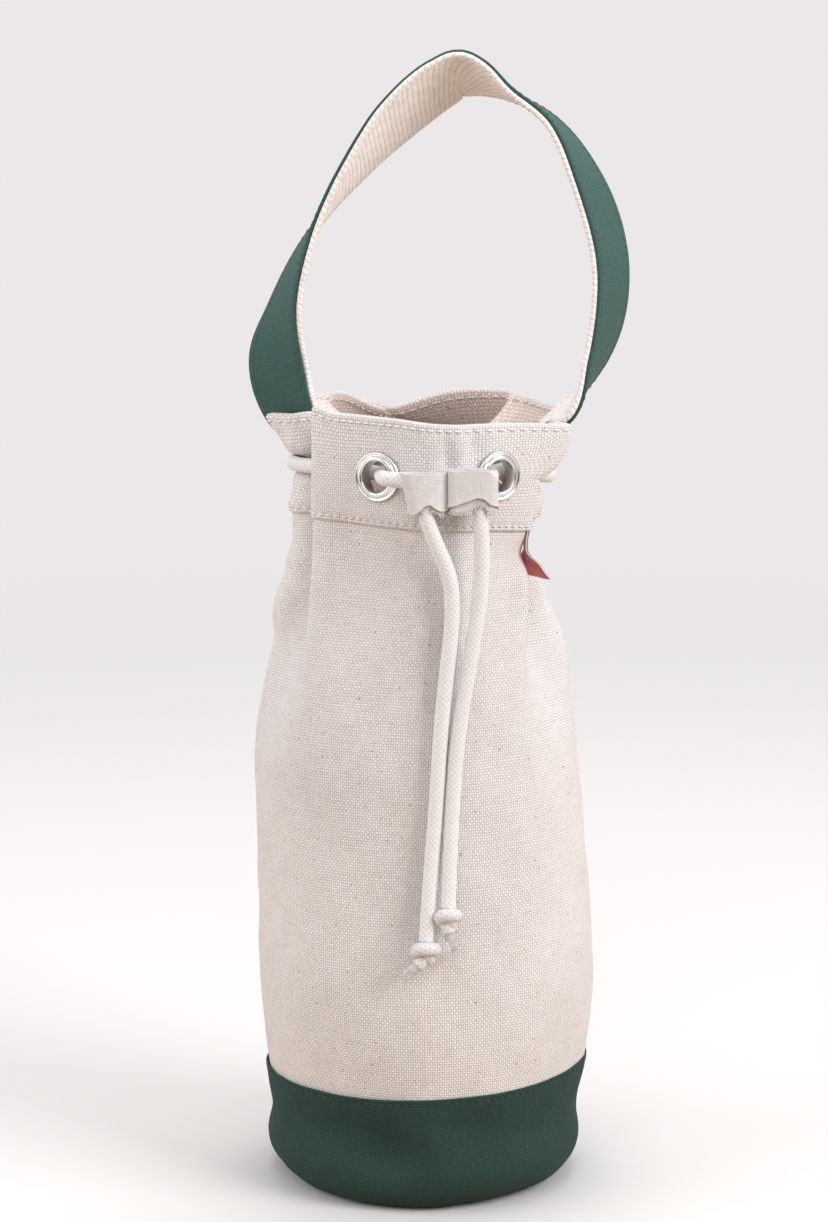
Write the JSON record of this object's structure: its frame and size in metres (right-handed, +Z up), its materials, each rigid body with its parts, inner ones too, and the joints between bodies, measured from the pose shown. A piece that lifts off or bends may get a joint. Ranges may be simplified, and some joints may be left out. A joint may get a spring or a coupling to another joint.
{
  "type": "drawstring bottle carrier",
  "caption": "Upright canvas bottle bag with a coloured base band, gathered collar, cord through metal eyelets, cloth cord slider and a looped carrying strap.",
  "frame": {"origin": "centre of the underside of the round base", "axes": "+Z up towards the handle, -Y towards the cord slider at the front, +X to the right seen from the front"},
  "size_m": [0.1282, 0.1253, 0.3847],
  "materials": {
    "natural_canvas": "plain woven cotton canvas",
    "green_canvas": "dyed cotton canvas",
    "natural_webbing": "twill woven cotton webbing",
    "white_cord": "braided cord",
    "nickel": "polished nickel plate",
    "clear_plastic": "clear shrunk sleeve",
    "red_ribbon": "woven ribbon"
  },
  "bodies": {
    "bag": {"base_disc": "green_canvas", "base_band": "green_canvas", "body_panel": "natural_canvas", "collar_band": "natural_canvas", "webbing_root_left": "natural_webbing", "webbing_root_right": "natural_webbing", "facing_root_left": "green_canvas", "facing_root_right": "green_canvas", "drawcord": "white_cord", "knot_left": "white_cord", "knot_right": "white_cord", "tip_left": "clear_plastic", "tip_right": "clear_plastic", "eyelet_1": "nickel", "eyelet_2": "nickel", "eyelet_3": "nickel", "eyelet_4": "nickel", "eyelet_5": "nickel", "eyelet_6": "nickel", "eyelet_7": "nickel", "eyelet_8": "nickel", "washer_1": "nickel", "washer_2": "nickel", "washer_3": "nickel", "washer_4": "nickel", "washer_5": "nickel", "washer_6": "nickel", "washer_7": "nickel", "washer_8": "nickel"},
    "handle": {"handle_webbing": "natural_webbing", "handle_facing": "green_canvas"},
    "slider": {"cord_slider": "natural_canvas"},
    "tag": {"side_tag": "red_ribbon"}
  },
  "joints": [
    {"name": "handle_fold", "type": "hinge", "parent": "bag", "child": "handle", "pos_m": [0, 0, 0.266], "axis": [1, 0, 0], "range_deg": [-90, 90], "deforming": ["webbing_root_left", "webbing_root_right", "facing_root_left", "facing_root_right"]},
    {"name": "slider_slide", "type": "slide", "parent": "bag", "child": "slider", "axis": [0, -0.02, -0.9998], "range_m": [0, 0.12], "deforming": ["drawcord"]},
    {"name": "tag_flap", "type": "hinge", "parent": "bag", "child": "tag", "pos_m": [0.03979, -0.03377, 0.2314], "axis": [-0.4067, -0.9135, 0], "range_deg": [0, 70]}
  ]
}
